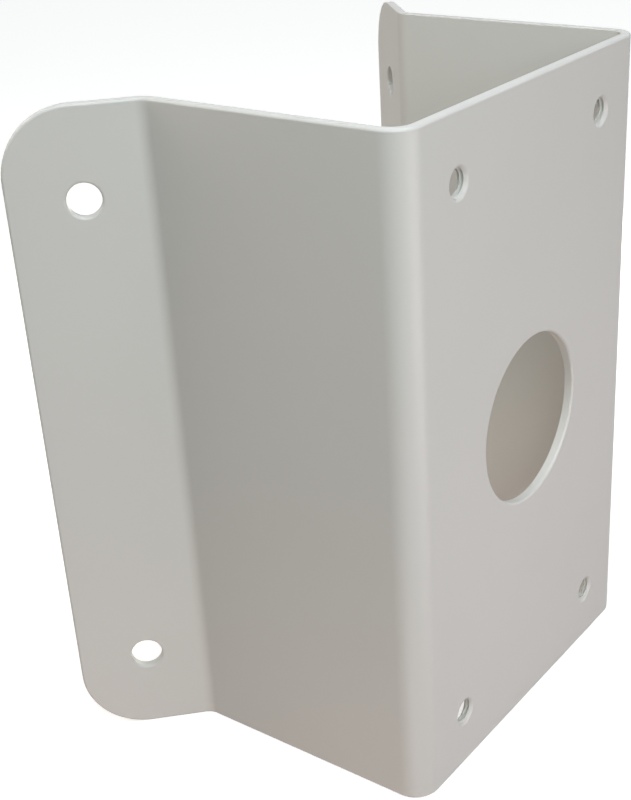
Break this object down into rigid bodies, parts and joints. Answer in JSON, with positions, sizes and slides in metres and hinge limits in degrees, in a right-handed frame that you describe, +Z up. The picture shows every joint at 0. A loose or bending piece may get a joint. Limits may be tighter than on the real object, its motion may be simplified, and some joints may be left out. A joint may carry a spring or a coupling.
{
  "type": "camera corner mount bracket",
  "caption": "Folded steel bracket that carries a security camera on the outer corner of a building, with a cable hole, tapped holes for the camera's plate and angled wall flanges.",
  "frame": {"origin": "middle of the cable hole, on the front plate's outer face", "axes": "+Z up along the building's corner, +Y back from the front plate to the corner, +X to the right when the front plate is faced"},
  "size_m": [0.1802, 0.1114, 0.2],
  "materials": {
    "powder_coat": "fine satin powder coat, light warm grey"
  },
  "bodies": {
    "root": {"corner_bracket": "powder_coat"}
  },
  "joints": []
}
